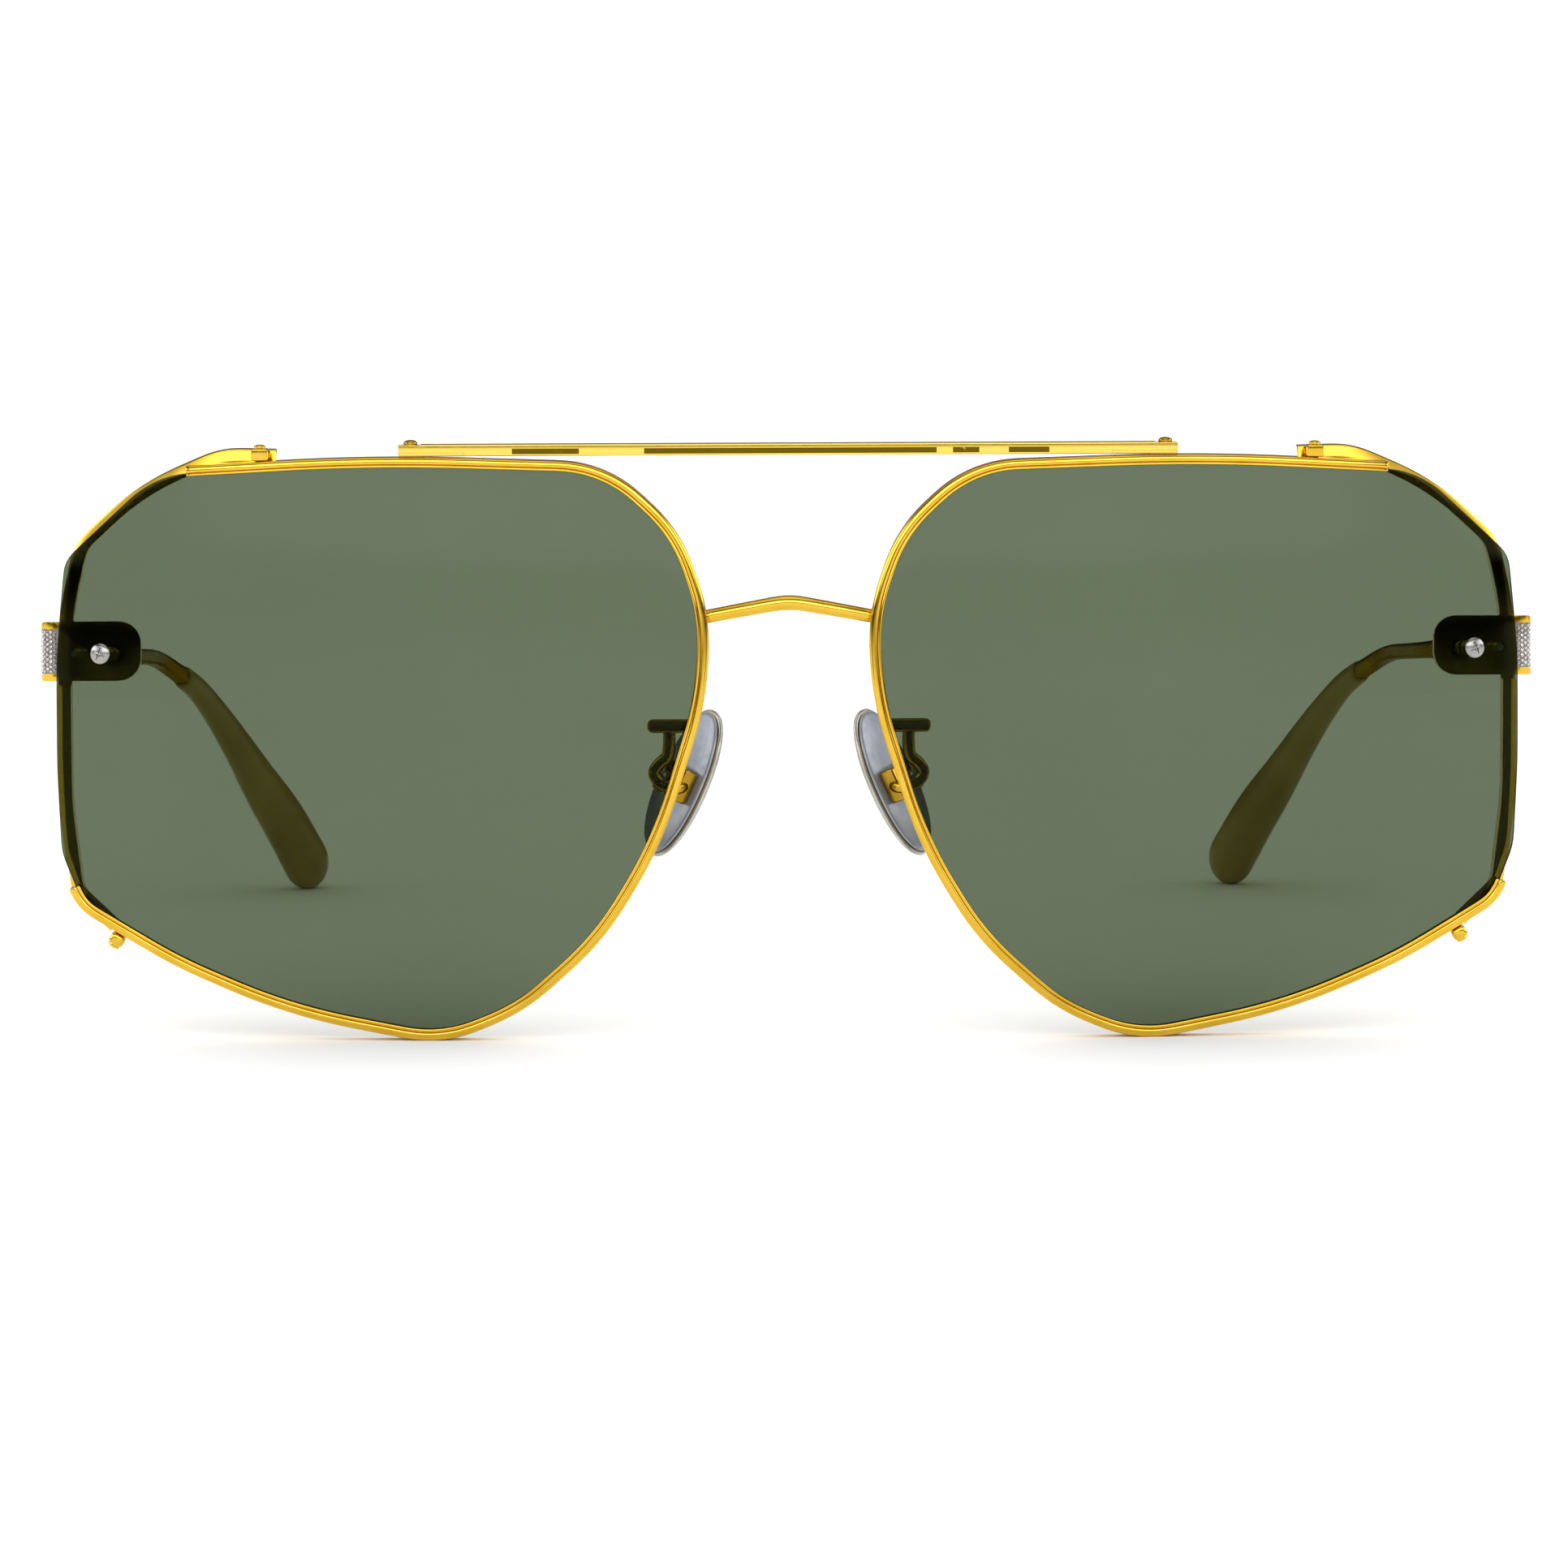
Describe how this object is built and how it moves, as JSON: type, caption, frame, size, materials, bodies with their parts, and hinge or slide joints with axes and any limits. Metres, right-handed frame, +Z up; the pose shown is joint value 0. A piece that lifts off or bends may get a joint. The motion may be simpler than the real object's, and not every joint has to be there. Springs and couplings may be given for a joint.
{
  "type": "aviator sunglasses",
  "caption": "Metal aviator sunglasses with angular tinted lenses, a brow bar, hinged temples with acetate tips and rocking nose pads.",
  "frame": {"origin": "middle of the underside of the bounding box, on the surface that the open glasses stand on", "axes": "+Z up, -Y out of the front of the lenses, +Y along the open temples, +X to the right seen from the front"},
  "size_m": [0.149, 0.146, 0.0595],
  "materials": {
    "gold": "polished yellow gold plating",
    "steel": "polished steel screws",
    "pave_silver": "silver strip with a fine studded texture",
    "lens_tint": "solid green-grey tint, polished",
    "acetate": "translucent honey acetate, polished",
    "pad_pearl": "pearly translucent edge",
    "pad_grey": "satin grey backing plate"
  },
  "bodies": {
    "front": {"top_bar": "gold", "bridge": "gold", "bar_screw_left": "gold", "rim_left": "gold", "lens_left": "lens_tint", "side_band_left": "gold", "band_post_top_left": "gold", "band_post_bottom_left": "gold", "band_screw_top_left": "gold", "band_screw_bottom_left": "gold", "end_piece_left": "gold", "inlay_left": "pave_silver", "hinge_screw_left": "steel", "lens_screw_left": "steel", "lens_nut_left": "steel", "lens_peg_left": "steel", "pad_arm_left": "gold", "bar_screw_right": "gold", "rim_right": "gold", "lens_right": "lens_tint", "side_band_right": "gold", "band_post_top_right": "gold", "band_post_bottom_right": "gold", "band_screw_top_right": "gold", "band_screw_bottom_right": "gold", "end_piece_right": "gold", "inlay_right": "pave_silver", "hinge_screw_right": "steel", "lens_screw_right": "steel", "lens_nut_right": "steel", "lens_peg_right": "steel", "pad_arm_right": "gold"},
    "temple_left": {"temple_left": "gold", "temple_tip_left": "acetate"},
    "pad_left": {"nose_pad_left": "pad_pearl", "pad_backing_left": "pad_grey", "pad_box_left": "gold", "pad_screw_left": "steel"},
    "temple_right": {"temple_right": "gold", "temple_tip_right": "acetate"},
    "pad_right": {"nose_pad_right": "pad_pearl", "pad_backing_right": "pad_grey", "pad_box_right": "gold", "pad_screw_right": "steel"}
  },
  "joints": [
    {"name": "temple_fold_left", "type": "hinge", "parent": "front", "child": "temple_left", "pos_m": [-0.072, -0.04964, 0.03718], "axis": [0, -0.0837, -0.9965], "range_deg": [0, 87]},
    {"name": "temple_fold_right", "type": "hinge", "parent": "front", "child": "temple_right", "pos_m": [0.072, -0.04964, 0.03718], "axis": [0, 0.0837, 0.9965], "range_deg": [0, 80.5]},
    {"name": "pad_rock_left", "type": "hinge", "parent": "front", "child": "pad_left", "pos_m": [-0.01168, -0.06269, 0.02529], "axis": [0.4568, -0.866, -0.2034], "range_deg": [-8, 8]},
    {"name": "pad_rock_right", "type": "hinge", "parent": "front", "child": "pad_right", "pos_m": [0.01168, -0.06269, 0.02529], "axis": [0.4568, 0.866, 0.2034], "range_deg": [-8, 8]}
  ]
}
